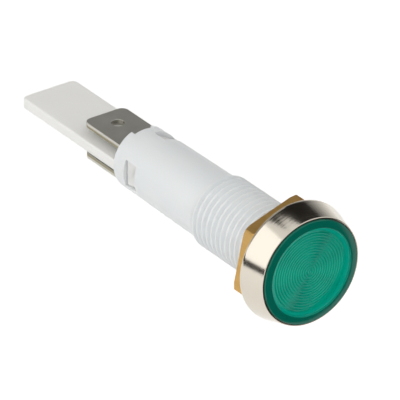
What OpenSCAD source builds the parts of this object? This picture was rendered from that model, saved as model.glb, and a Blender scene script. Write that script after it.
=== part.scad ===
// Panel pilot light for a 10 mm panel hole: a plated bezel with a ringed lens, a threaded nylon
// barrel, a brass nut, and a rear carrier with two push-on tabs and a barrier blade between them.
// The origin is the centre of the bezel's rear face, where it meets the panel.
// -Y is the front (lens) side, +Y runs back along the barrel, and +Z is up.

/* [Bezel] */
// Widest diameter of the bezel
bezel_d = 16.34; // [16:0.02:18]
// Depth of the bezel in front of the panel
bezel_l = 3.68; // [3.4:0.02:5]
// Outer diameter of the bezel's front lip
bezel_lip_d = 14.66; // [14.3:0.02:15.8]
// Width of the straight band at the bezel's back edge
bezel_band = 0.4; // [0.3:0.05:0.8]
// Bevel on the bezel's back corner
bezel_bevel = 0.1; // [0.05:0.05:0.2]
// Radial width of the flat lip that frames the lens
lip_w = 0.28; // [0.2:0.01:0.6]
// Thickness of the bezel's floor
bezel_floor = 0.8; // [0.6:0.05:1]

/* [Lens] */
// How far the lens stands in front of the lip
lens_proud = 0.27; // [0:0.01:0.4]
// Width of the raised rim of the lens
lens_rim_w = 1.06; // [0.8:0.02:1.3]
// Depth of the dish inside the raised rim
dish_depth = 0.36; // [0.2:0.02:0.5]
// Thickness of the lens plate behind the dish
lens_plate = 0.9; // [0.7:0.05:1]
// Thickness of the skirt behind the rim
lens_wall = 0.9; // [0.6:0.05:1.2]
// Width of the plain border around the rings
ring_border = 0.42; // [0.3:0.02:0.8]
// Number of light-spreading rings
ring_n = 15; // [8:1:20]
// Depth of each ring's groove
ring_depth = 0.05; // [0.03:0.01:0.1]

/* [Barrel] */
// Outside diameter of the thread
thread_d = 10; // [9.6:0.1:10.8]
// Length of the thread behind the panel
thread_l = 15.3; // [12:0.1:18]
// Distance from one thread crest to the next
thread_pitch = 1; // [0.75:0.05:1.25]
// Depth of the thread
thread_depth = 0.5; // [0.3:0.01:0.6]
// Width of the flat on each thread crest
thread_crest = 0.28; // [0.15:0.01:0.4]
// Bevel at the end of the thread
thread_bevel = 0.35; // [0.2:0.05:0.5]
// Diameter of the plain body where the thread ends
body_front_d = 9.08; // [8.8:0.02:9.4]
// Diameter of the plain body at its rear end
body_rear_d = 8.64; // [8.5:0.02:8.8]
// Length of the barrel behind the panel
body_l = 32.6; // [31:0.1:38]
// Diameter of the barrel's bore
bore_d = 7.2; // [7:0.05:7.5]
// Diameter of the barrel's head inside the bezel
head_d = 13.4; // [12.8:0.1:13.7]
// Thickness of the barrel's head
head_t = 1.05; // [0.8:0.05:1.2]

/* [Snap windows] */
// Number of snap windows around the barrel
window_n = 3; // [2:1:4]
// Width of each snap window
window_w = 3.6; // [2.8:0.1:3.8]
// Length of each snap window along the barrel
window_l = 2.4; // [2:0.1:3]
// Length of barrel left behind the windows
window_back = 2.3; // [1.8:0.1:3]
// Width of the notches in the rear rim
notch_w = 3; // [2:0.1:3.6]
// Depth of the notches in the rear rim
notch_l = 0.83; // [0.5:0.01:1.2]

/* [Panel nut] */
// Size across the flats of the nut
nut_af = 14; // [13:0.1:15]
// Thickness of the nut
nut_t = 2; // [1.5:0.1:3]
// Diameter at which the nut's corner bevels begin
nut_face_d = 15.5; // [15:0.1:16]
// Bevel at both ends of the nut's bore
nut_bore_bevel = 0.3; // [0.1:0.05:0.5]
// Turn of the nut's corners from level
nut_turn = 17.5; // [0:0.5:60]

/* [Rear carrier] */
// Length of the plug inside the barrel
plug_l = 7; // [6:0.1:8]
// Bevel on the plug's leading end
plug_bevel = 0.35; // [0.2:0.05:0.5]
// Height of the snap lugs above the plug
lug_h = 0.25; // [0.15:0.01:0.3]
// Depth of the snap lugs' roots in the plug
lug_root = 0.5; // [0.4:0.05:0.6]
// Width of the barrier blade
blade_w = 8.3; // [7.8:0.1:8.5]
// Thickness of the barrier blade
blade_t = 1.5; // [1:0.05:1.8]
// Length of the barrier blade behind the barrel
blade_l = 20.9; // [16:0.1:26]
// Corner radius of the barrier blade
blade_r = 0.9; // [0.3:0.1:2]

/* [Tabs] */
// Width of each tab
tab_w = 6.3; // [6:0.1:6.4]
// Thickness of each tab
tab_t = 0.8; // [0.7:0.05:0.9]
// Length of each tab behind the barrel
tab_l = 8.25; // [7.8:0.05:12]
// Clear distance from the middle plane to each tab
tab_z = 1.8; // [1.7:0.05:1.85]
// Corner radius of the tabs
tab_r = 1; // [0.5:0.1:1.6]
// Diameter of the detent hole in each tab
tab_hole_d = 1.8; // [1.4:0.1:2]
// Bevel at both ends of the detent hole
tab_hole_bevel = 0.08; // [0.04:0.02:0.14]
// Distance from a tab's end to its detent hole
tab_hole_back = 3.15; // [2.8:0.05:4]
// Width of each tab's tail inside the barrel
tail_w = 4; // [3:0.1:4.2]
// Length of each tab's tail in front of the plug
tail_l = 2.2; // [2:0.1:2.6]

/* [Lamp] */
// Diameter of the glass envelope
lamp_d = 5.8; // [5:0.1:6]
// Length of the glass envelope with its stub
lamp_l = 11; // [10:0.1:12]
// How far the tip of the glass stands in front of the panel
lamp_front = 1.2; // [0.8:0.1:1.4]
// Thickness of the glass
glass_t = 0.5; // [0.3:0.05:0.7]
// Glass around the wires in the sealed stub
stub_wall = 0.35; // [0.25:0.05:0.45]
// Bare wire in front of each splice's solder
splice_bare = 0.1; // [0.05:0.05:0.3]
// Length of the sealed stub that holds the wires
stub_l = 1.6; // [1:0.1:2]
// Diameter of the electrodes
electrode_d = 0.8; // [0.6:0.05:0.9]
// Length of the electrodes
electrode_l = 5.5; // [4.5:0.1:5.9]
// Diameter of the lamp's wires
lamp_wire_d = 0.5; // [0.4:0.05:0.55]

/* [Resistor] */
// Diameter of the resistor's body
res_d = 2.1; // [1.8:0.1:2.2]
// Length of the resistor with its caps
res_l = 6; // [5.5:0.1:6.2]
// Length of each end cap
cap_l = 1.1; // [0.8:0.1:1.4]
// Thickness of each end cap
cap_t = 0.12; // [0.05:0.01:0.15]
// Diameter of the resistor's wires and of the return wire
res_wire_d = 0.6; // [0.5:0.05:0.65]
// Length of the resistor's front wire
res_front_l = 2; // [1.6:0.05:2.4]
// Radius of the solder joints
solder_r = 0.75; // [0.65:0.05:0.85]
// Outside diameter of the insulating sleeve
sleeve_d = 1.3; // [1.1:0.05:1.5]

/* [Clearances] */
// Radial play between the nut and the thread
thread_play = 0.05; // [0.02:0.01:0.1]
// Radial play between the barrel and the bezel's hole
bezel_play = 0.05; // [0.02:0.01:0.1]
// Radial play between the plug and the bore
plug_play = 0.04; // [0.02:0.01:0.1]
// Play around each tab's tail in its slot
slot_play = 0.02; // [0.01:0.01:0.05]
// Play around each snap lug in its window
lug_play = 0.15; // [0.1:0.01:0.3]
// Radial play between the sleeve and its wire
sleeve_play = 0.02; // [0.01:0.01:0.05]
// Thickness of the solder between a wire and what it is soldered to
solder_film = 0.06; // [0.04:0.01:0.1]
// Space between the parts inside the barrel
inner_gap = 0.4; // [0.3:0.05:0.5]

/* [Hidden] */
$fn = 96;
eps = 0.01;
bezel_r = bezel_d / 2;
lip_r = bezel_lip_d / 2;
lens_r = lip_r - lip_w;
thread_r = thread_d / 2;
// Half the width of a thread groove at the crests
groove_w = (thread_pitch - thread_crest) / 2;
// How many whole grooves fit in front of the bevel
groove_n = floor((thread_l - thread_bevel - groove_w) / thread_pitch - 0.1);
bore_r = bore_d / 2;
lens_front = -bezel_l - lens_proud;
dish_y = lens_front + dish_depth;
dish_r = lens_r - lens_rim_w;
head_y = -bezel_floor - head_t;
ring_r = dish_r - ring_border;
ring_pitch = ring_r / ring_n;
window_y = body_l - window_back - window_l;
nut_travel = thread_l - nut_t;
plug_r = bore_r - plug_play;
plug_y = body_l - plug_l;
tab_mid = tab_z + tab_t / 2;
tail_y = plug_y - tail_l;
wire_end = plug_y - inner_gap;
lamp_r = lamp_d / 2;
lamp_y = -lamp_front;
lamp_end = lamp_y + lamp_l;
stub_y = lamp_end - stub_l;
electrode_y = stub_y - inner_gap - electrode_l;
wire_z = tab_z - res_wire_d / 2 - solder_film;
lamp_z = wire_z - (res_wire_d + lamp_wire_d) / 2 - solder_film;
stub_r = lamp_z + lamp_wire_d / 2 + stub_wall;
res_back = tail_y - 2 * inner_gap;
res_y = res_back - res_l;
cap_r = res_d / 2 + cap_t;
splice_y = res_y - res_front_l;
splice_z = (wire_z + lamp_z) / 2;
nylon = "#e9ebea";
tin = "#8d8d86";
wire_grey = "#a8a9a6";
solder = "#b7b9b6";

// Turns a shape built along Z so that it runs along +Y.
module along_y() {
  rotate([-90, 0, 0])
    children();
}

// A solid of revolution about the barrel's axis from [radius, y] points.
module turned(points) {
  along_y()
    rotate_extrude()
      polygon(points);
}

// A round bar of radius r from y0 to y1 at x, z.
module bar(r, y0, y1, x = 0, z = 0) {
  translate([x, y0, z])
    along_y()
      cylinder(h = y1 - y0, r = r);
}

// A flat outline from y0 to y1, w wide, with its two far corners rounded to radius r.
module tongue(w, y0, y1, r) {
  translate([-w / 2, y0])
    square([w, y1 - y0 - r]);
  translate([-w / 2 + r, y0])
    square([w - 2 * r, y1 - y0]);
  for (s = [-1, 1])
    translate([s * (w / 2 - r), y1 - r])
      circle(r = r);
}

// The copies of a shape at each snap window, the first one pointing along -X.
module at_windows() {
  for (i = [0 : window_n - 1])
    rotate([0, 180 + i * 360 / window_n, 0])
      children();
}

module bezel() {
  color("#cfc9bd")
    turned([
      [thread_r + bezel_play, 0],
      [bezel_r - bezel_bevel, 0],
      [bezel_r, -bezel_bevel],
      [bezel_r, -bezel_band],
      [lip_r, -bezel_l],
      [lens_r, -bezel_l],
      [lens_r, -bezel_floor],
      [thread_r + bezel_play, -bezel_floor]
    ]);
}

// The rings of the lens, as points from the middle outward.
function ring_points() = [
  for (i = [0 : ring_n - 1])
    each [[i * ring_pitch, dish_y], [(i + 0.5) * ring_pitch, dish_y + ring_depth]]
];

module lens() {
  color("#0a8f6e")
    turned(concat(ring_points(), [
      [ring_r, dish_y],
      [dish_r, dish_y],
      [dish_r, lens_front],
      [lens_r, lens_front],
      [lens_r, head_y],
      [lens_r - lens_wall, head_y],
      [lens_r - lens_wall, dish_y + lens_plate],
      [0, dish_y + lens_plate]
    ]));
}

// The thread as rings of one profile. Each groove is a V between two flat crests.
thread_grooves = [
  for (i = [1 : groove_n], k = [-1 : 1])
    [thread_r - (k == 0 ? thread_depth : 0), i * thread_pitch + k * groove_w]
];

module barrel() {
  color(nylon)
    difference() {
      turned(concat(
        [[bore_r, head_y],
        [head_d / 2, head_y],
        [head_d / 2, -bezel_floor],
        [thread_r, -bezel_floor]],
        thread_grooves,
        [[thread_r, thread_l - thread_bevel],
        [thread_r - thread_bevel, thread_l],
        [body_front_d / 2, thread_l],
        [body_rear_d / 2, body_l],
        [bore_r, body_l]]
      ));
      at_windows()
        translate([bore_r / 2, window_y, -window_w / 2])
          cube([thread_r, window_l, window_w]);
      for (s = [0, 180])
        rotate([0, s, 0])
          translate([-notch_w / 2, body_l - notch_l, bore_r / 2])
            cube([notch_w, 2 * notch_l, thread_r]);
    }
}

module panel_nut() {
  bore = thread_r + thread_play;
  corner = nut_af / 2 / cos(30);
  rise = max(corner - nut_face_d / 2, 0) * tan(30);
  color("#c69a55")
    difference() {
      intersection() {
        along_y()
          rotate(-nut_turn)
            cylinder(h = nut_t, r = corner, $fn = 6);
        turned([
          [0, 0],
          [nut_face_d / 2, 0],
          [corner + 1, rise + tan(30)],
          [corner + 1, nut_t - rise - tan(30)],
          [nut_face_d / 2, nut_t],
          [0, nut_t]
        ]);
      }
      bar(bore, -1, nut_t + 1);
      turned([
        [0, -eps],
        [bore + nut_bore_bevel + eps, -eps],
        [bore, nut_bore_bevel],
        [0, nut_bore_bevel]
      ]);
      turned([
        [0, nut_t - nut_bore_bevel],
        [bore, nut_t - nut_bore_bevel],
        [bore + nut_bore_bevel + eps, nut_t + eps],
        [0, nut_t + eps]
      ]);
    }
}

// A snap lug seen along the barrel, in [radius, y]: a ramp, a top and a square catch.
module lug() {
  y0 = window_y + lug_play;
  y1 = window_y + window_l - lug_play;
  translate([0, 0, -(window_w / 2 - lug_play)])
    linear_extrude(window_w - 2 * lug_play)
      polygon([
        [plug_r - lug_root, y0],
        [plug_r - 0.4 * lug_h, y0],
        [plug_r + lug_h, (y0 + y1) / 2],
        [plug_r + lug_h, y1],
        [plug_r - lug_root, y1]
      ]);
}

module terminal_carrier() {
  color("#e3e1d8") {
    difference() {
      union() {
        turned([
          [0, plug_y],
          [plug_r - plug_bevel, plug_y],
          [plug_r, plug_y + plug_bevel],
          [plug_r, body_l],
          [0, body_l]
        ]);
        at_windows()
          lug();
      }
      for (s = [-1, 1])
        translate([-tail_w / 2 - slot_play, plug_y - plug_bevel, s * tab_mid - tab_t / 2 - slot_play])
          cube([tail_w + 2 * slot_play, plug_l + 2 * plug_bevel, tab_t + 2 * slot_play]);
    }
    translate([0, 0, -blade_t / 2])
      linear_extrude(blade_t)
        tongue(blade_w, body_l, body_l + blade_l, blade_r);
    translate([-plug_r / 2, body_l - blade_t, -blade_t / 2])
      cube([plug_r, 2 * blade_t, blade_t]);
  }
}

// A push-on tab: a tongue with a bevelled hole, shoulders on the barrel's rim, and a tail.
module tab() {
  hole_y = body_l + tab_l - tab_hole_back;
  hole_r = tab_hole_d / 2;
  color(tin)
    difference() {
      translate([0, 0, tab_z])
        linear_extrude(tab_t) {
          tongue(tab_w, body_l, body_l + tab_l, tab_r);
          translate([-tail_w / 2, tail_y])
            square([tail_w, body_l + tab_r - tail_y]);
        }
      translate([0, hole_y, tab_z - tab_t])
        cylinder(h = 3 * tab_t, r = hole_r);
      translate([0, hole_y, tab_z + tab_t - tab_hole_bevel])
        cylinder(h = 2 * tab_hole_bevel, r1 = hole_r, r2 = hole_r + 2 * tab_hole_bevel);
      translate([0, hole_y, tab_z - tab_hole_bevel])
        cylinder(h = 2 * tab_hole_bevel, r1 = hole_r + 2 * tab_hole_bevel, r2 = hole_r);
    }
}

module upper_tab() {
  tab();
}

module lower_tab() {
  rotate([0, 180, 0])
    tab();
}

// The glass: a tube with domed ends, sealed at the back around the two wires.
module lamp_envelope() {
  color("#dfe8e4")
    difference() {
      union() {
        bar(lamp_r, lamp_y + lamp_r, stub_y - lamp_r / 2);
        translate([0, lamp_y + lamp_r, 0])
          sphere(r = lamp_r);
        turned([
          [0, stub_y - lamp_r / 2],
          [lamp_r, stub_y - lamp_r / 2],
          [stub_r, stub_y],
          [stub_r, lamp_end],
          [0, lamp_end]
        ]);
      }
      bar(lamp_r - glass_t, lamp_y + lamp_r, stub_y - lamp_r / 2);
      translate([0, lamp_y + lamp_r, 0])
        sphere(r = lamp_r - glass_t);
      turned([
        [0, stub_y - lamp_r / 2 - eps],
        [lamp_r - glass_t, stub_y - lamp_r / 2 - eps],
        [stub_r - glass_t, stub_y - inner_gap / 2],
        [0, stub_y - inner_gap / 2]
      ]);
      for (s = [-1, 1])
        bar(lamp_wire_d / 2, stub_y - stub_l, lamp_end + stub_l, 0, s * lamp_z);
    }
}

module lamp_electrode_upper() {
  color("#9a9c9b")
    bar(electrode_d / 2, electrode_y, electrode_y + electrode_l, 0, lamp_z);
}

module lamp_electrode_lower() {
  color("#9a9c9b")
    bar(electrode_d / 2, electrode_y, electrode_y + electrode_l, 0, -lamp_z);
}

module lamp_lead_upper() {
  color(wire_grey)
    bar(lamp_wire_d / 2, electrode_y + electrode_l, res_y - inner_gap, 0, lamp_z);
}

module lamp_lead_lower() {
  color(wire_grey)
    bar(lamp_wire_d / 2, electrode_y + electrode_l, res_y - inner_gap, 0, -lamp_z);
}

module resistor_body() {
  color("#c8b48c")
    bar(res_d / 2, res_y + cap_t, res_back - cap_t, 0, wire_z);
}

// An end cap over one end of the resistor, from its closed face at y towards dir.
module end_cap(y, dir) {
  color(wire_grey)
    translate([0, y, wire_z])
      rotate([0, 0, dir > 0 ? 0 : 180])
        turned([
          [0, 0],
          [cap_r, 0],
          [cap_r, cap_l],
          [res_d / 2, cap_l],
          [res_d / 2, cap_t],
          [0, cap_t]
        ]);
}

module resistor_cap_front() {
  end_cap(res_y, 1);
}

module resistor_cap_rear() {
  end_cap(res_back, -1);
}

module resistor_lead_front() {
  color(wire_grey)
    bar(res_wire_d / 2, splice_y, res_y, 0, wire_z);
}

module resistor_lead_rear() {
  color(wire_grey)
    bar(res_wire_d / 2, res_back, wire_end, 0, wire_z);
}

module return_wire() {
  color(wire_grey)
    bar(res_wire_d / 2, splice_y, wire_end, 0, -wire_z);
}

module return_sleeve() {
  color("#d9d4c4")
    difference() {
      bar(sleeve_d / 2, res_y + inner_gap, res_back, 0, -wire_z);
      bar(res_wire_d / 2 + sleeve_play, res_y, res_back + inner_gap, 0, -wire_z);
    }
}

// Solder between one of the lamp's wires and the wire that carries on behind it.
module splice(dir) {
  y0 = splice_y + splice_bare;
  y1 = res_y - inner_gap / 2;
  color(solder)
    difference() {
      bar(solder_r, y0, y1, 0, dir * splice_z);
      bar(res_wire_d / 2, splice_y, res_y, 0, dir * wire_z);
      bar(lamp_wire_d / 2, splice_y, res_y, 0, dir * lamp_z);
    }
}

module upper_splice() {
  splice(1);
}

module lower_splice() {
  splice(-1);
}

// Solder that holds a wire to the inner face of the upper tab's tail.
module tail_joint() {
  y0 = tail_y + inner_gap / 2;
  y1 = wire_end - inner_gap / 4;
  color(solder)
    difference() {
      translate([0, 0, wire_z])
        turned([
          [0, y0],
          [solder_r / 2, y0],
          [solder_r, y0 + solder_r / 2],
          [solder_r, y1 - solder_r / 2],
          [solder_r / 2, y1],
          [0, y1]
        ]);
      bar(res_wire_d / 2, tail_y, wire_end, 0, wire_z);
      translate([-tail_w / 2, tail_y, tab_z])
        cube([tail_w, tail_l, tab_t]);
    }
}

module upper_tab_joint() {
  tail_joint();
}

module lower_tab_joint() {
  rotate([0, 180, 0])
    tail_joint();
}

bezel();
lens();
barrel();
panel_nut();
terminal_carrier();
upper_tab();
lower_tab();
lamp_envelope();
lamp_electrode_upper();
lamp_electrode_lower();
lamp_lead_upper();
lamp_lead_lower();
resistor_body();
resistor_cap_front();
resistor_cap_rear();
resistor_lead_front();
resistor_lead_rear();
return_wire();
return_sleeve();
upper_splice();
lower_splice();
upper_tab_joint();
lower_tab_joint();
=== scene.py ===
# %% [markdown]
# # A panel pilot light
# The imported model is the frame: every piece is made in metres, in its place.
# The dressed model must stay inside it.

# %% Load the frame
import bpy, bmesh, math
from mathutils import Vector, Matrix


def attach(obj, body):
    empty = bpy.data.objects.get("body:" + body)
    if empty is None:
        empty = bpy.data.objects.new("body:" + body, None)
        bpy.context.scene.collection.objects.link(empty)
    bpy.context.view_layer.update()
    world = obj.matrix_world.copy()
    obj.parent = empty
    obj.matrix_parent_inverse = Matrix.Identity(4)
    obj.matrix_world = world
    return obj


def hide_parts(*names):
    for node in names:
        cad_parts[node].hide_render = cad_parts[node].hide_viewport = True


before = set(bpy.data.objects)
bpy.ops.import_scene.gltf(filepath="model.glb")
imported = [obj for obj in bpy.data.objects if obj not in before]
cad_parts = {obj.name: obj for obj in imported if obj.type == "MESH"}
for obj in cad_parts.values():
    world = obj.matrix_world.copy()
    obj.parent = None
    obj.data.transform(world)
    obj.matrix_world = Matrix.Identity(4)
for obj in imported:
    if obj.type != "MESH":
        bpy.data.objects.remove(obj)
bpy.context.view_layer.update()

MM = 0.001

# %% [markdown]
# ## The camera
# A catalogue view comes from far away with a long lens, so the barrel hardly
# tapers. The back axis points from the light to the camera, and the right
# axis is kept level, so the picture isn't rolled.

# %% Camera
azimuth, elevation = math.radians(-35.506), math.radians(29.104)
back = Vector((math.sin(azimuth) * math.cos(elevation),
               -math.cos(azimuth) * math.cos(elevation), math.sin(elevation)))
right = Vector((math.cos(azimuth), math.sin(azimuth), 0))
up = back.cross(right)
camera = bpy.data.objects.new("camera", bpy.data.cameras.new("camera"))
bpy.context.scene.collection.objects.link(camera)
camera.matrix_world = Matrix.Translation(Vector((-459.68, -624.55, 440.12)) * MM) @ \
    Matrix((right, up, back)).transposed().to_4x4()
camera.data.sensor_width, camera.data.lens = 36, 650.2
camera.data.clip_start, camera.data.clip_end = 0.05, 20
bpy.context.scene.camera = camera
print("camera distance", round(camera.location.length, 3), "m")

# %% [markdown]
# ## Four small tools
# A colour is written as the hex value a screen shows, and Blender wants it
# linear. One function adds a node with its settings and links. A material
# starts from an empty tree. The last tool tells what is seen from what only
# lights, so that a background can be white without more light on the object.

# %% Colour and node tools
def paint(code):
    parts = [int(code[i:i + 2], 16) / 255 for i in (1, 3, 5)]
    return tuple(c / 12.92 if c <= 0.04045 else ((c + 0.055) / 1.055) ** 2.4 for c in parts) + (1,)

def put(tree, kind, inputs=None, **settings):
    made = tree.nodes.new("ShaderNode" + kind)
    for key, value in settings.items():
        setattr(made, key, value)
    for key, value in (inputs or {}).items():
        if isinstance(value, bpy.types.NodeSocket):
            tree.links.new(value, made.inputs[key])
        else:
            made.inputs[key].default_value = value
    return made

def new_finish(name):
    made = bpy.data.materials.new(name)
    made.use_nodes = True
    made.node_tree.nodes.clear()
    return made, made.node_tree

def seen_plainly(tree):
    """1 where the camera, a reflection or a clear piece sees the surface, and 0 where it only gives light."""
    path = put(tree, "LightPath")
    mirror = put(tree, "Math", {0: path.outputs["Is Glossy Ray"], 1: path.outputs["Is Transmission Ray"]},
                 operation="MAXIMUM")
    both = put(tree, "Math", {0: path.outputs["Is Camera Ray"], 1: mirror.outputs[0]}, operation="MAXIMUM")
    return both.outputs[0]

print("white is", [round(c, 2) for c in paint("#ffffff")])

# %% [markdown]
# ## Studio: the floor and the sky
# The light hangs in its panel, so the floor lies lower down and takes only a
# faint shadow. The sky is white where the eye, the metal and the lens see it,
# and a little weaker where it lights the pieces.

# %% Sky
world = bpy.data.worlds.new("white tent")
bpy.context.scene.world = world
world.use_nodes = True
sky = world.node_tree
sky.nodes.clear()
SKY_LIGHT = 0.84
level = put(sky, "MapRange", {"Value": seen_plainly(sky), "To Min": SKY_LIGHT, "To Max": 1.0})
glow = put(sky, "Background", {"Color": paint("#ffffff"), "Strength": level.outputs["Result"]})
put(sky, "OutputWorld", {"Surface": glow.outputs[0]})
bpy.context.scene.view_settings.view_transform = "Standard"
print("sky lights the pieces at", SKY_LIGHT)

# %% Floor
def sheet_of_points(name, rows, material):
    """A grid of points, row by row, as one mesh object."""
    wide = len(rows[0])
    points = [tuple(c * MM for c in p) for row in rows for p in row]
    faces = [(r * wide + c, r * wide + c + 1, (r + 1) * wide + c + 1, (r + 1) * wide + c)
             for r in range(len(rows) - 1) for c in range(wide - 1)]
    mesh = bpy.data.meshes.new(name)
    mesh.from_pydata(points, [], faces)
    mesh.polygons.foreach_set("use_smooth", [True] * len(faces))
    made = bpy.data.objects.new(name, mesh)
    bpy.context.scene.collection.objects.link(made)
    made.data.materials.append(material)
    return made

floor_paper, tree = new_finish("white background paper, matt")
FLOOR_Z, FLOOR_HALF, FLOOR_LIFT = -60, 1500, 0.46
lift = put(tree, "Math", {0: seen_plainly(tree), 1: FLOOR_LIFT}, operation="MULTIPLY")
bare = put(tree, "BsdfDiffuse", {"Color": paint("#f0f0f0")})
shine = put(tree, "Emission", {"Color": paint("#ffffff"), "Strength": lift.outputs[0]})
both = put(tree, "AddShader", {0: bare.outputs[0], 1: shine.outputs[0]})
below = put(tree, "NewGeometry")
clear = put(tree, "BsdfTransparent")
one_sided = put(tree, "MixShader", {0: below.outputs["Backfacing"], 1: both.outputs[0], 2: clear.outputs[0]})
put(tree, "OutputMaterial", {"Surface": one_sided.outputs[0]})
floor = sheet_of_points("floor", [[(x, y, FLOOR_Z) for x in (-FLOOR_HALF, FLOOR_HALF)]
                                  for y in (-FLOOR_HALF, FLOOR_HALF)], floor_paper)
print("floor at", FLOOR_Z, "mm")

# %% [markdown]
# ## Studio: softbox and cards
# Bright metal has no look of its own: it shows the room. A tall softbox
# stands on the left. Its lamp lights the matt pieces, and its face, a bright
# sheet that only mirrors and clear pieces see, makes the plating shine.

# %% Softbox
def towards(az, el, distance=1.0):
    a, e = math.radians(az), math.radians(el)
    return Vector((math.sin(a) * math.cos(e), -math.cos(a) * math.cos(e), math.sin(e))) * distance

def softbox(name, az, el, distance, width, height, watts):
    lamp = bpy.data.lights.new(name, "AREA")
    lamp.shape, lamp.size, lamp.size_y, lamp.energy = "RECTANGLE", width, height, watts
    made = bpy.data.objects.new(name, lamp)
    bpy.context.scene.collection.objects.link(made)
    made.location = towards(az, el, distance)
    made.rotation_euler = made.location.to_track_quat("Z", "Y").to_euler()
    return made

BOX_W, BOX_H = 0.8, 0.62
left_box = softbox("softbox left", -112, 32, 0.6, BOX_W, BOX_H, 1.2)
left_box.visible_glossy = False
print("softbox at", [round(v, 2) for v in left_box.location], "m")

diffuser, tree = new_finish("softbox diffuser, nylon sheet")
cloth = put(tree, "Emission", {"Color": paint("#ffffff"), "Strength": 1.6})
put(tree, "OutputMaterial", {"Surface": cloth.outputs[0]})
across = left_box.rotation_euler.to_matrix()
middle = left_box.location / MM * 0.98
face = sheet_of_points("softbox_face", [[tuple(middle + across @ Vector((x * BOX_W, y * BOX_H, 0)) * 500)
                                         for x in (-1, 1)] for y in (-1, 1)], diffuser)
face.visible_camera = face.visible_diffuse = face.visible_shadow = False

# %% [markdown]
# Dark cards stand where the plating is to go dark: a thin one at the
# softbox's foot, one behind, which thins out low down, and one overhead. A
# paler one behind gives the nut its mid tone. In front a card and a felt on
# the table keep the lens free of white reflections, so its green stays deep.
# All of them are hidden from the camera, and the felt is for mirrors alone.

# %% Cards
CARD_R = 450

def card(name, az0, az1, el0, el1, clear_low=0.0, shade="#2a2826"):
    """A curved card round the object. clear_low is the share of its height
    over which it thins out."""
    material, tree = new_finish(name + " velvet")
    where = put(tree, "TexCoord")
    split = put(tree, "SeparateXYZ", {0: where.outputs["UV"]})
    solid = put(tree, "MapRange", {"Value": split.outputs["Y"], "From Max": max(clear_low, 0.001),
                                   "To Min": 0.0 if clear_low else 1.0})
    clear = put(tree, "BsdfTransparent")
    dark = put(tree, "BsdfDiffuse", {"Color": paint(shade)})
    mixed = put(tree, "MixShader", {0: solid.outputs["Result"], 1: clear.outputs[0], 2: dark.outputs[0]})
    put(tree, "OutputMaterial", {"Surface": mixed.outputs[0]})
    steps = 24
    rows = [[tuple(towards(az0 + (az1 - az0) * i / steps, el0 + (el1 - el0) * j / steps, CARD_R))
             for i in range(steps + 1)] for j in range(steps + 1)]
    made = sheet_of_points(name, rows, material)
    uv = made.data.uv_layers.new(name="card")
    for loop in made.data.loops:
        row, column = divmod(loop.vertex_index, steps + 1)
        uv.data[loop.index].uv = (column / steps, row / steps)
    made.visible_camera = False
    made.visible_shadow = False
    return made

card("card at the softbox foot", -150, -70, -6, 4)
card("card behind", 108, 156, 2, 74, clear_low=0.5)
card("card overhead", 156, 222, 56, 74)
card("grey card behind", 156, 222, 2, 56, shade="#d8d4cc")
card("card in front", -20, 84, -8, 14)
dark_sheet, tree = new_finish("dark felt on the table")
felt = put(tree, "BsdfDiffuse", {"Color": paint("#1c1b1a")})
put(tree, "OutputMaterial", {"Surface": felt.outputs[0]})
FELT_Z = FLOOR_Z + 1
sheet = sheet_of_points("dark_felt", [[(-20, -400, FELT_Z), (420, -400, FELT_Z)],
                                      [(-20, -52, FELT_Z), (42, -52, FELT_Z)]], dark_sheet)
sheet.visible_camera = sheet.visible_diffuse = sheet.visible_shadow = False
print("cards stand", CARD_R, "mm from the object")

# %% [markdown]
# ## Shapes that are turned
# Most of the light is round about one axis, so a closed outline of radius and
# depth is spun into a solid. Real edges are never sharp: soften() replaces a
# corner by a small arc, which is what catches the light.

# %% Outline tools
def soften(points, radii, steps=4):
    """Rounds the corners of a closed outline. radii maps a corner's number to its radius in mm."""
    done = []
    count = len(points)
    for i, here in enumerate(points):
        reach = radii.get(i, 0)
        if not reach:
            done.append(here)
            continue
        before, p, after = (Vector(points[i - 1]), Vector(here), Vector(points[(i + 1) % count]))
        a, b = (before - p), (after - p)
        half = a.angle(b) / 2
        cut = min(reach / math.tan(half), 0.48 * a.length, 0.48 * b.length)
        start, end = p + a.normalized() * cut, p + b.normalized() * cut
        for k in range(steps + 1):
            t = k / steps
            done.append(tuple(start * (1 - t) ** 2 + p * 2 * t * (1 - t) + end * t ** 2))
    return done

def spin(name, outline, steps=192, bend=None):
    """Spins a closed outline of (radius, y) in mm about the Y axis.
    bend(radius, y, angle) may change a radius."""
    mesh = bmesh.new()
    rings = []
    for radius, y in outline:
        if radius < 1e-6:
            rings.append([mesh.verts.new((0, y * MM, 0))] * steps)
            continue
        ring = []
        for k in range(steps):
            angle = 2 * math.pi * k / steps
            r = bend(radius, y, angle) if bend else radius
            ring.append(mesh.verts.new((r * MM * math.cos(angle), y * MM, r * MM * math.sin(angle))))
        rings.append(ring)
    for i in range(len(rings)):
        one, two = rings[i], rings[(i + 1) % len(rings)]
        for k in range(steps):
            corners = []
            for v in (one[k], one[(k + 1) % steps], two[(k + 1) % steps], two[k]):
                if v not in corners:
                    corners.append(v)
            if len(corners) > 2 and mesh.faces.get(corners) is None:
                mesh.faces.new(corners)
    bmesh.ops.recalc_face_normals(mesh, faces=mesh.faces)
    return shell(name, mesh)

def shell(name, mesh):
    """Turns a bmesh into an object."""
    data = bpy.data.meshes.new(name)
    mesh.to_mesh(data)
    mesh.free()
    made = bpy.data.objects.new(name, data)
    bpy.context.scene.collection.objects.link(made)
    return made

def finish_piece(piece, body, slot, material, *nodes, angle=35):
    """Smooths a piece, gives it its finish, and lets it ride on its body in
    the place of its nodes."""
    piece.data.polygons.foreach_set("use_smooth", [True] * len(piece.data.polygons))
    piece.data.set_sharp_from_angle(angle=math.radians(angle))
    piece.data.materials.clear()
    piece.data.materials.append(material)
    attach(piece, body)
    if nodes:
        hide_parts(*nodes)
    print(piece.name, len(piece.data.polygons), "faces")

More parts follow.
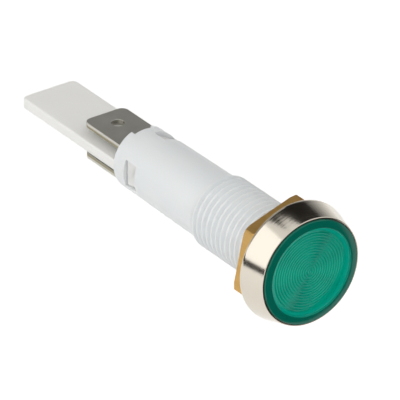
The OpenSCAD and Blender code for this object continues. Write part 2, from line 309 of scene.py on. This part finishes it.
# %% [markdown]
# ## Bezel: brass, turned and bright nickel plated
# Nickel is a warm grey mirror. The lathe leaves fine rings round the axis,
# which break the edge of each reflection into short strokes. Real rings are
# about 0.02 mm apart, too fine to show, so they are drawn 0.22 mm apart.

# %% Bright nickel
nickel, tree = new_finish("nickel plate, bright, over turned brass")
RING_MM, STROKE_MM = 0.22, 3.0
place = put(tree, "TexCoord")
per_stroke, per_ring = 1 / (STROKE_MM * MM), 1 / (RING_MM * MM)
rings = put(tree, "Mapping", {0: place.outputs["Object"], 3: (per_stroke, per_ring, per_stroke)})
marks = put(tree, "TexNoise", {"Vector": rings.outputs[0], "Scale": 1.0, "Detail": 3.0, "Roughness": 0.6})
bump = put(tree, "Bump", {"Height": marks.outputs["Fac"], "Strength": 0.35, "Distance": 0.02 * MM})
gloss = put(tree, "MapRange", {"Value": marks.outputs["Fac"], "To Min": 0.10, "To Max": 0.2})
metal = put(tree, "BsdfPrincipled", {"Base Color": paint("#d0c9bc"), "Metallic": 1.0,
                                     "Roughness": gloss.outputs["Result"], "Normal": bump.outputs[0]})
put(tree, "OutputMaterial", {"Surface": metal.outputs[0]})

# %% Bezel
BEZEL_R, LIP_R, LENS_R, BEZEL_L, SEAT = 8.17, 7.33, 7.05, 3.68, 0.8
BEZEL_BORE, BAND = 5.05, 0.4
outline = soften([(BEZEL_BORE, 0), (BEZEL_R, 0), (BEZEL_R, -BAND), (LIP_R, -BEZEL_L), (LENS_R, -BEZEL_L),
                  (LENS_R, -SEAT), (BEZEL_BORE, -SEAT)], {1: 0.3, 2: 0.5, 3: 0.16, 4: 0.05})
bezel = spin("bezel_turned", outline, 256)
finish_piece(bezel, "housing", "bright_nickel", nickel, "bezel", angle=28)

# %% [markdown]
# ## Lens: acrylic, moulded in clear green
# The plastic is tinted all through. Light passes the thin disc, meets the
# white barrel and comes back, so the disc glows, while the deep rim stays
# dark. That glow is painted into the colour as a brighter green in the disc,
# with a painted highlight as a lighter band at the dish's edge. The rim's dark
# green is partly the real deeper green of thick plastic and partly painted
# shade. The rings spread each reflection across them, which makes the fans of
# light and shade round the middle, and the plastic tints them green.

# %% Green acrylic
green, tree = new_finish("acrylic, moulded, clear green")
place = put(tree, "TexCoord")
square = put(tree, "Mapping", {0: place.outputs["Object"], 3: (1 / MM, 0, 1 / MM)})
radius = put(tree, "VectorMath", {0: square.outputs[0]}, operation="LENGTH")
outward_mm = radius.outputs["Value"]
# Painted by radius: a brighter green in the disc for the glow, a lighter band from 5.5 to 6 mm for a highlight,
# and a dark green rim that is partly real depth of tint and partly painted shade.
deep = put(tree, "MapRange", {"Value": outward_mm, "From Min": 5.95, "From Max": 6.05})
painted_highlight_band = put(tree, "MapRange", {"Value": outward_mm, "From Min": 5.5, "From Max": 5.62})
painted_glow_tone = put(tree, "Mix", {0: painted_highlight_band.outputs["Result"], 6: paint("#00bea0"), 7: paint("#00ccb0")},
                data_type="RGBA")
tone = put(tree, "Mix", {0: deep.outputs["Result"], 6: painted_glow_tone.outputs[2], 7: paint("#007a66")},
           data_type="RGBA")
body = put(tree, "BsdfPrincipled", {"Base Color": tone.outputs[2], "Roughness": 0.12, "IOR": 1.49,
                                    "Specular IOR Level": 0.3, "Transmission Weight": 0.2})
around = put(tree, "Tangent", direction_type="RADIAL", axis="Y")
fan = put(tree, "BsdfAnisotropic", {"Color": paint("#00dcb8"), "Roughness": 0.45, "Anisotropy": 0.9,
                                    "Tangent": around.outputs[0]})
inside = put(tree, "MapRange", {"Value": outward_mm, "From Min": 5.5, "From Max": 5.56,
                                "To Min": 0.45, "To Max": 0.0})
lens_bsdf = put(tree, "MixShader", {0: inside.outputs["Result"], 1: body.outputs[0], 2: fan.outputs[0]})
put(tree, "OutputMaterial", {"Surface": lens_bsdf.outputs[0]})

# %% Lens
RINGS, RING_R, DISH_R, RIM_Y, DISH_Y, GROOVE = 15, 5.57, 5.99, -3.95, -3.59, 0.05
pitch = RING_R / RINGS
outline = []
for i in range(RINGS):
    outline += [(i * pitch, DISH_Y), ((i + 0.5) * pitch, DISH_Y + GROOVE)]
first = len(outline)
SKIRT_R, SKIRT_Y, PLATE_Y, FIT, RIM_FLAT_R, RIM_SLOPE = 6.15, -1.86, -2.69, 0.02, 6.3, 0.07
outline += [(RING_R, DISH_Y), (DISH_R, DISH_Y), (DISH_R, RIM_Y), (RIM_FLAT_R, RIM_Y),
            (LENS_R - FIT, RIM_Y + RIM_SLOPE), (LENS_R - FIT, SKIRT_Y), (SKIRT_R, SKIRT_Y),
            (SKIRT_R, PLATE_Y), (0, PLATE_Y)]
lens = spin("lens_moulded", soften(outline, {first + 1: 0.1, first + 2: 0.08, first + 4: 0.1}), 256)
finish_piece(lens, "housing", "green_lens", green, "lens", angle=20)

# %% [markdown]
# ## Barrel: nylon, moulded in opaque white
# White nylon scatters light just under its skin, so shadows in the thread and
# windows stay pale. The mould was spark-eroded, which leaves a fine matt
# grain of about 0.05 mm, drawn at 0.25 mm to show.

# %% White nylon
white, tree = new_finish("nylon 66, moulded, white")
GRAIN_MM = 0.25
place = put(tree, "TexCoord")
grain = put(tree, "TexNoise", {"Vector": place.outputs["Object"], "Scale": 1 / (GRAIN_MM * MM), "Detail": 2.0})
bump = put(tree, "Bump", {"Height": grain.outputs["Fac"], "Strength": 0.12, "Distance": 0.02 * MM})
flow = put(tree, "TexNoise", {"Vector": place.outputs["Object"], "Scale": 1 / (6 * MM), "Detail": 1.0})
tone = put(tree, "Mix", {0: flow.outputs["Fac"], 6: paint("#e8ecee"), 7: paint("#eff1f1")}, data_type="RGBA")
nylon_bsdf = put(tree, "BsdfPrincipled", {"Base Color": tone.outputs[2], "Roughness": 0.42, "IOR": 1.53,
                                          "Subsurface Weight": 0.35, "Subsurface Radius": (1.0, 1.0, 1.0),
                                          "Subsurface Scale": 0.6 * MM, "Normal": bump.outputs[0]})
put(tree, "OutputMaterial", {"Surface": nylon_bsdf.outputs[0]})

# %% Thread and head
THREAD_R, PITCH, DEPTH, THREAD_L, BORE_R, HEAD_R, HEAD_Y = 5.0, 1.0, 0.5, 15.3, 3.6, 6.7, -1.85
BODY_R0, BODY_R1, BODY_L = 4.54, 4.32, 32.6

def threaded(radius, y, angle):
    """A right-hand thread: turning from +Z to +X moves a groove towards +Y.
    The radii of the bore, the body and the head stay as they are."""
    if radius < 4.3 or y < 0:
        return radius
    turn = (y / PITCH + angle / (2 * math.pi)) % 1.0
    high = min(max((abs(turn - 0.5) * 2 - 0.25) / 0.55, 0), 1)
    return radius - DEPTH * (1 - high * high * (3 - 2 * high)) * min(1, max(0, (radius - BODY_R0) / 0.3))

END_BEVEL, PER_MM = 0.35, 12
rows = [(THREAD_R, i / PER_MM) for i in range(0, int((THREAD_L - END_BEVEL) * PER_MM) + 1)]
outline = [(BORE_R, HEAD_Y), (HEAD_R, HEAD_Y), (HEAD_R, -SEAT), (THREAD_R, -SEAT), (THREAD_R, -0.02)] + rows + \
    [(THREAD_R, THREAD_L - END_BEVEL), (THREAD_R - 0.1, THREAD_L - 0.12), (THREAD_R - END_BEVEL, THREAD_L),
     (BODY_R0 - 0.1, THREAD_L), (BORE_R, THREAD_L)]
front_half = spin("front_half", outline, 160, threaded)
print("thread pitch", PITCH, "mm,", len(rows), "rows")

# %% [markdown]
# ## Barrel: windows and notches
# The rear half is a plain sleeve. Its windows hold the carrier's snap lugs,
# and a notch in the rim clears each tab. They are cut with boolean modifiers,
# whose cutters flare a little at the skin, which leaves a softened edge.

# %% Cutting tool
def wedge(corners_low, corners_high):
    """A six-sided solid from two rings of four corners, in mm."""
    mesh = bmesh.new()
    low = [mesh.verts.new(Vector(c) * MM) for c in corners_low]
    high = [mesh.verts.new(Vector(c) * MM) for c in corners_high]
    mesh.faces.new(low)
    mesh.faces.new(high)
    for k in range(4):
        mesh.faces.new((low[k], low[(k + 1) % 4], high[(k + 1) % 4], high[k]))
    bmesh.ops.recalc_face_normals(mesh, faces=mesh.faces)
    return shell("cutter", mesh)

def outward(angle, r, side, y):
    """A point r out from the axis at an angle, and side across."""
    a = math.radians(angle)
    return (r * math.cos(a) - side * math.sin(a), y, r * math.sin(a) + side * math.cos(a))

def cut_box(angle, r0, r1, half, y0, y1, flare=0.0):
    low = [outward(angle, r0, s * half, y) for s, y in ((-1, y0), (1, y0), (1, y1), (-1, y1))]
    y0, y1 = y0 - flare, y1 + flare
    high = [outward(angle, r1, s * (half + flare), y) for s, y in ((-1, y0), (1, y0), (1, y1), (-1, y1))]
    return wedge(low, high)

def cut(piece, cutters):
    """Takes the cutters out of a piece and throws them away."""
    for tool in cutters:
        step = piece.modifiers.new("cut", "BOOLEAN")
        step.operation, step.solver, step.object = "DIFFERENCE", "EXACT", tool
    whole = piece.evaluated_get(bpy.context.evaluated_depsgraph_get())
    piece.data = bpy.data.meshes.new_from_object(whole)
    piece.modifiers.clear()
    for tool in cutters:
        bpy.data.objects.remove(tool)

def join(name, pieces):
    """One object from several shells."""
    mesh = bmesh.new()
    for piece in pieces:
        mesh.from_mesh(piece.data)
        bpy.data.objects.remove(piece)
    return shell(name, mesh)

# %% Sleeve
sleeve_outline = soften([(BORE_R, THREAD_L - 0.3), (BODY_R0, THREAD_L - 0.3), (BODY_R1, BODY_L),
                         (BORE_R, BODY_L)], {2: 0.14, 3: 0.08})
sleeve = spin("sleeve", sleeve_outline, 160)
WINDOWS, WINDOW_W, WINDOW_Y0, WINDOW_Y1 = (180, 60, 300), 3.6, 27.9, 30.3
tools = [cut_box(angle, 3.0, 4.32, WINDOW_W / 2, WINDOW_Y0, WINDOW_Y1, 0.02) for angle in WINDOWS]
tools += [cut_box(angle, 4.2, 6.0, WINDOW_W / 2 - 0.02, WINDOW_Y0 - 0.02, WINDOW_Y1 + 0.02, 0.6)
          for angle in WINDOWS]
NOTCH_HALF, NOTCH_L = 1.5, 0.83
tools += [cut_box(angle, 3.0, 6.0, NOTCH_HALF, BODY_L - NOTCH_L, BODY_L + 1) for angle in (90, 270)]
cut(sleeve, tools)
barrel = join("barrel_moulded", [front_half, sleeve])
finish_piece(barrel, "housing", "white_nylon", white, "barrel", angle=40)

# %% [markdown]
# ## Nut: brass, sawn from drawn hexagon bar
# Brass is a yellow metal with soft gloss. The bar's drawing leaves fine lines
# along the axis. The nut is spun like the rest, but each radius is the least
# of the six flats and the end bevels, blended so that the edges are rounded.

# %% Brass
brass, tree = new_finish("brass, drawn hexagon bar, sawn")
LINE_MM = 0.18
place = put(tree, "TexCoord")
per_line = 1 / (LINE_MM * MM)
lines = put(tree, "Mapping", {0: place.outputs["Object"], 3: (per_line, 1 / (4 * MM), per_line)})
marks = put(tree, "TexNoise", {"Vector": lines.outputs[0], "Scale": 1.0, "Detail": 3.0, "Roughness": 0.65})
bump = put(tree, "Bump", {"Height": marks.outputs["Fac"], "Strength": 0.5, "Distance": 0.02 * MM})
tone = put(tree, "Mix", {0: marks.outputs["Fac"], 6: paint("#b8904c"), 7: paint("#d8b070")}, data_type="RGBA")
brass_bsdf = put(tree, "BsdfPrincipled", {"Base Color": tone.outputs[2], "Metallic": 1.0, "Roughness": 0.32,
                                          "Normal": bump.outputs[0]})
put(tree, "OutputMaterial", {"Surface": brass_bsdf.outputs[0]})

# %% Panel nut
NUT_AF, NUT_T, NUT_BORE, NUT_FACE, NUT_TURN = 14.0, 2.0, 5.05, 7.75, math.radians(17.5)

def least(values, blend=0.035):
    """The smallest of several radii, with a rounded meeting."""
    low = min(values)
    return low - blend * math.log(sum(math.exp((low - v) / blend) for v in values))

def hexagon(radius, y, angle):
    if radius < 6:
        return radius
    turns = [(angle - NUT_TURN - math.pi / 6 + math.pi + k * math.pi / 3) % (2 * math.pi) - math.pi
             for k in range(6)]
    flats = [NUT_AF / 2 / math.cos(turn) for turn in turns if abs(turn) < 1.2]
    edge = min(y, NUT_T - y)
    return least(flats + [NUT_FACE + edge / math.tan(math.radians(30)), 8.5 + edge * 12])

heights = [0, 0.03, 0.08, 0.14, 0.2, 0.28, 0.4, 0.7, 1.0, 1.3, 1.6, 1.72, 1.8, 1.86, 1.92, 1.97, 2.0]
NUT_BEVEL, WIDE = 0.3, 9.0    # WIDE lies past the hexagon, which brings it in
outline = [(NUT_BORE + NUT_BEVEL, 0)] + [(WIDE, y) for y in heights] + \
    [(NUT_BORE + NUT_BEVEL, NUT_T), (NUT_BORE, NUT_T - NUT_BEVEL), (NUT_BORE, NUT_BEVEL)]
nut = spin("nut_hexagon", outline, 360, hexagon)
finish_piece(nut, "nut", "brass", brass, "panel_nut", angle=38)

# %% [markdown]
# ## Carrier: nylon, moulded in its natural colour
# Unfilled nylon is a warm milky white, more see-through than the barrel. The
# blade keeps a plug-on socket's two halves apart. A flat curve with a bevel
# makes such plates well: outline, holes, thickness and rounded edges in one.

# %% Natural nylon
natural, tree = new_finish("nylon 66, moulded, natural")
place = put(tree, "TexCoord")
grain = put(tree, "TexNoise", {"Vector": place.outputs["Object"], "Scale": 1 / (0.3 * MM), "Detail": 2.0})
bump = put(tree, "Bump", {"Height": grain.outputs["Fac"], "Strength": 0.1, "Distance": 0.02 * MM})
flow = put(tree, "TexNoise", {"Vector": place.outputs["Object"], "Scale": 1 / (9 * MM), "Detail": 1.0})
tone = put(tree, "Mix", {0: flow.outputs["Fac"], 6: paint("#f3f2ee"), 7: paint("#f6f6f3")}, data_type="RGBA")
natural_bsdf = put(tree, "BsdfPrincipled", {"Base Color": tone.outputs[2], "Roughness": 0.45, "IOR": 1.53,
                                            "Subsurface Weight": 0.5, "Subsurface Radius": (1.0, 1.0, 1.0),
                                            "Subsurface Scale": 0.8 * MM, "Normal": bump.outputs[0]})
put(tree, "OutputMaterial", {"Surface": natural_bsdf.outputs[0]})

# %% Plate tool
def arc(x, y, r, start, end, steps=10):
    return [(x + r * math.cos(math.radians(start + (end - start) * k / steps)),
             y + r * math.sin(math.radians(start + (end - start) * k / steps))) for k in range(steps + 1)]

def plate(name, outlines, z, thickness, edge, rounds=3):
    """A flat plate in the XY plane from outlines in mm, the first outside and the rest holes."""
    curve = bpy.data.curves.new(name, "CURVE")
    curve.dimensions, curve.fill_mode = "2D", "BOTH"
    curve.extrude, curve.bevel_depth = (thickness / 2 - edge) * MM, edge * MM
    curve.bevel_resolution, curve.offset = rounds, -edge * MM
    for points in outlines:
        line = curve.splines.new("POLY")
        line.points.add(len(points) - 1)
        for point, (x, y) in zip(line.points, points):
            point.co = (x * MM, y * MM, 0, 1)
        line.use_cyclic_u = True
    flat = bpy.data.objects.new(name, curve)
    bpy.context.scene.collection.objects.link(flat)
    mesh = bpy.data.meshes.new_from_object(flat.evaluated_get(bpy.context.evaluated_depsgraph_get()))
    bpy.data.objects.remove(flat)
    mesh.transform(Matrix.Translation((0, 0, (z + thickness / 2) * MM)))
    made = bpy.data.objects.new(name, mesh)
    bpy.context.scene.collection.objects.link(made)
    weld = bmesh.new()
    weld.from_mesh(mesh)
    bmesh.ops.remove_doubles(weld, verts=weld.verts, dist=1e-6)
    weld.to_mesh(mesh)
    weld.free()
    return made

def flatten(piece):
    """Keeps a plate's two big faces flat, while its rounded edges stay smooth."""
    for face in piece.data.polygons:
        face.use_smooth = abs(face.normal.z) < 0.999

# %% Terminal carrier
PLUG_R, PLUG_Y, BLADE_W, BLADE_T, BLADE_END, BLADE_CORNER = 3.56, 25.6, 8.3, 1.5, 53.5, 0.9
PLUG_BEVEL, SLOT_HALF_W, SLOT_HALF_T, SLOT_MID = 0.35, 2.02, 0.42, 2.2
plug = spin("plug", soften([(0, PLUG_Y), (PLUG_R - PLUG_BEVEL, PLUG_Y), (PLUG_R, PLUG_Y + PLUG_BEVEL),
                            (PLUG_R, BODY_L), (0, BODY_L)], {3: 0.06}), 96)
tail_slot = [(-SLOT_HALF_W, 25), (SLOT_HALF_W, 25), (SLOT_HALF_W, 33), (-SLOT_HALF_W, 33)]
cut(plug, [wedge([(x, y, side * SLOT_MID - SLOT_HALF_T) for x, y in tail_slot],
                 [(x, y, side * SLOT_MID + SLOT_HALF_T) for x, y in tail_slot]) for side in (-1, 1)])
LUG_HALF, LUG_Y0, LUG_Y1 = WINDOW_W / 2 - 0.15, WINDOW_Y0 + 0.15, WINDOW_Y1 - 0.15
lug = [(-LUG_HALF, LUG_Y0, 3.46), (LUG_HALF, LUG_Y0, 3.46), (LUG_HALF, LUG_Y1, 3.81), (-LUG_HALF, LUG_Y1, 3.81)]
lugs = [wedge([outward(angle, 3.1, side, y) for side, y, r in lug],
              [outward(angle, r, side, y) for side, y, r in lug])
        for angle in WINDOWS]
half = BLADE_W / 2
corner_y = BLADE_END - BLADE_CORNER
blade_outline = [(-half, BODY_L), (half, BODY_L)] + arc(half - BLADE_CORNER, corner_y, BLADE_CORNER, 0, 90) \
    + arc(-half + BLADE_CORNER, corner_y, BLADE_CORNER, 90, 180)
blade = plate("blade", [blade_outline], -BLADE_T / 2, BLADE_T, 0.25)
ROOT_HALF, ROOT_Y0, ROOT_Y1 = 1.78, 31.3, 33.9
root_outline = [(-ROOT_HALF, ROOT_Y0), (ROOT_HALF, ROOT_Y0), (ROOT_HALF, ROOT_Y1), (-ROOT_HALF, ROOT_Y1)]
root = plate("root", [root_outline], -BLADE_T / 2, BLADE_T, 0.02)
carrier = join("carrier_moulded", [plug, blade, root] + lugs)
finish_piece(carrier, "housing", "natural_nylon", natural, "terminal_carrier", angle=30)
flatten(carrier)

# %% [markdown]
# ## Tabs: brass strip, tinned and blanked
# Hot-dipped tin is a soft grey mirror with fine rolling lines along the strip.
# The punch cuts the edge clean for half its depth and tears the rest, so one
# half of each edge is bright and the other rougher. The cream tone given to
# that rougher half, the one nearer the blade, is a painted reflection.

# %% Tinned strip
tinned, tree = new_finish("tinned brass strip, blanked")
place = put(tree, "TexCoord")
per_line = 1 / (0.25 * MM)
rolled = put(tree, "Mapping", {0: place.outputs["Object"], 3: (per_line, 1 / (5 * MM), per_line)})
marks = put(tree, "TexNoise", {"Vector": rolled.outputs[0], "Scale": 1.0, "Detail": 3.0})
cloud = put(tree, "TexNoise", {"Vector": place.outputs["Object"], "Scale": 1 / (2 * MM), "Detail": 3.0})
bump = put(tree, "Bump", {"Height": marks.outputs["Fac"], "Strength": 0.25, "Distance": 0.01 * MM})
# Mask of the edge half nearer the blade, away from the hole: it gets a painted reflection and a rougher
# surface.
split = put(tree, "SeparateXYZ", {0: place.outputs["Object"]})
height = put(tree, "Math", {0: split.outputs["Z"]}, operation="ABSOLUTE")
half_near_blade = put(tree, "Math", {0: height.outputs[0], 1: 2.2 * MM}, operation="LESS_THAN")
lie = put(tree, "NewGeometry")
tilt = put(tree, "SeparateXYZ", {0: lie.outputs["Normal"]})
flat = put(tree, "Math", {0: tilt.outputs["Z"]}, operation="ABSOLUTE")
upright = put(tree, "Math", {0: flat.outputs[0], 1: 0.3}, operation="LESS_THAN")
far_out = put(tree, "Math", {0: split.outputs["X"]}, operation="ABSOLUTE")
outside = put(tree, "Math", {0: far_out.outputs[0], 1: 1.0 * MM}, operation="GREATER_THAN")
edge = put(tree, "Math", {0: upright.outputs[0], 1: outside.outputs[0]}, operation="MULTIPLY")
torn_and_painted_reflection = put(tree, "Math", {0: half_near_blade.outputs[0], 1: edge.outputs[0]}, operation="MULTIPLY")
tone = put(tree, "Mix", {0: cloud.outputs["Fac"], 6: paint("#b9b8b0"), 7: paint("#cfcdc4")}, data_type="RGBA")
# a39d86 is a painted reflection in cream on that edge half, and its higher roughness stands for the real tear.
skin = put(tree, "Mix", {0: torn_and_painted_reflection.outputs[0], 6: tone.outputs[2], 7: paint("#a39d86")}, data_type="RGBA")
rough = put(tree, "MapRange", {"Value": torn_and_painted_reflection.outputs[0], "To Min": 0.28, "To Max": 0.6})
tin_bsdf = put(tree, "BsdfPrincipled", {"Base Color": skin.outputs[2], "Metallic": 1.0,
                                        "Roughness": rough.outputs["Result"], "Normal": bump.outputs[0]})
put(tree, "OutputMaterial", {"Surface": tin_bsdf.outputs[0]})

# %% Tabs
TAB_W, TAB_T, TAB_Z, TAB_END, TAIL_W, TAIL_Y, HOLE_Y, HOLE_R = 6.3, 0.8, 1.8, 40.85, 4.0, 23.4, 37.7, 0.9
half, corner = TAB_W / 2, 1.0
tab_outline = [(-TAIL_W / 2, TAIL_Y), (TAIL_W / 2, TAIL_Y), (TAIL_W / 2, BODY_L), (half, BODY_L)] \
    + arc(half - corner, TAB_END - corner, corner, 0, 90) \
    + arc(-half + corner, TAB_END - corner, corner, 90, 180) \
    + [(-half, BODY_L), (-TAIL_W / 2, BODY_L)]
hole = arc(0, HOLE_Y, HOLE_R, 360, 0, 40)[:-1]
for name, node, turn in (("upper_tab_blanked", "upper_tab", 0), ("lower_tab_blanked", "lower_tab", math.pi)):
    tab = plate(name, [tab_outline, hole], TAB_Z, TAB_T, 0.07)
    tab.data.transform(Matrix.Rotation(turn, 4, "Y"))
    finish_piece(tab, "housing", "tinned_tab", tinned, node, angle=32)
    flatten(tab)

# %% [markdown]
# ## Inside: lamp, resistor and wires
# A glow lamp with its series resistor hides in the barrel. These nodes keep
# their own shape and get the finish of the real piece.

# %% Inner finishes
def inner_finish(name, base, second, size_mm, **sockets):
    """A finish whose colour wanders between two tones over a real size in mm."""
    made, tree = new_finish(name)
    place = put(tree, "TexCoord")
    cloud = put(tree, "TexNoise", {"Vector": place.outputs["Object"], "Scale": 1 / (size_mm * MM),
                                   "Detail": 2.0})
    tone = put(tree, "Mix", {0: cloud.outputs["Fac"], 6: paint(base), 7: paint(second)}, data_type="RGBA")
    bump = put(tree, "Bump", {"Height": cloud.outputs["Fac"], "Strength": 0.1, "Distance": 0.01 * MM})
    values = {"Base Color": tone.outputs[2], "Normal": bump.outputs[0]}
    values.update({key.replace("_", " "): value for key, value in sockets.items()})
    bsdf = put(tree, "BsdfPrincipled", values)
    put(tree, "OutputMaterial", {"Surface": bsdf.outputs[0]})
    return made

inner = {
    "lamp_glass": inner_finish("lead glass, blown", "#eef4f0", "#f6faf8", 3, Roughness=0.03, IOR=1.56,
                               Transmission_Weight=1.0),
    "electrode": inner_finish("nickel wire, drawn, activated", "#8f8a80", "#a8a39a", 0.5, Roughness=0.45,
                              Metallic=1.0),
    "wire": inner_finish("copper wire, tinned", "#b4b2aa", "#cac8c0", 0.6, Roughness=0.3, Metallic=1.0),
    "solder": inner_finish("tin solder, flowed", "#aaaaa6", "#c6c6c2", 0.4, Roughness=0.22, Metallic=1.0),
    "resistor_coat": inner_finish("resistor lacquer, dipped", "#c3a877", "#d2b98a", 0.8, Roughness=0.4,
                                  IOR=1.5),
    "sleeve": inner_finish("silicone tube, extruded", "#e2dccb", "#eee9db", 1.0, Roughness=0.5, IOR=1.41),
}
for name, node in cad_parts.items():
    slots = [m.name for m in node.data.materials if m]
    if slots and slots[0] in inner:
        node.data.materials[0] = inner[slots[0]]
print("inner finishes", len(inner))
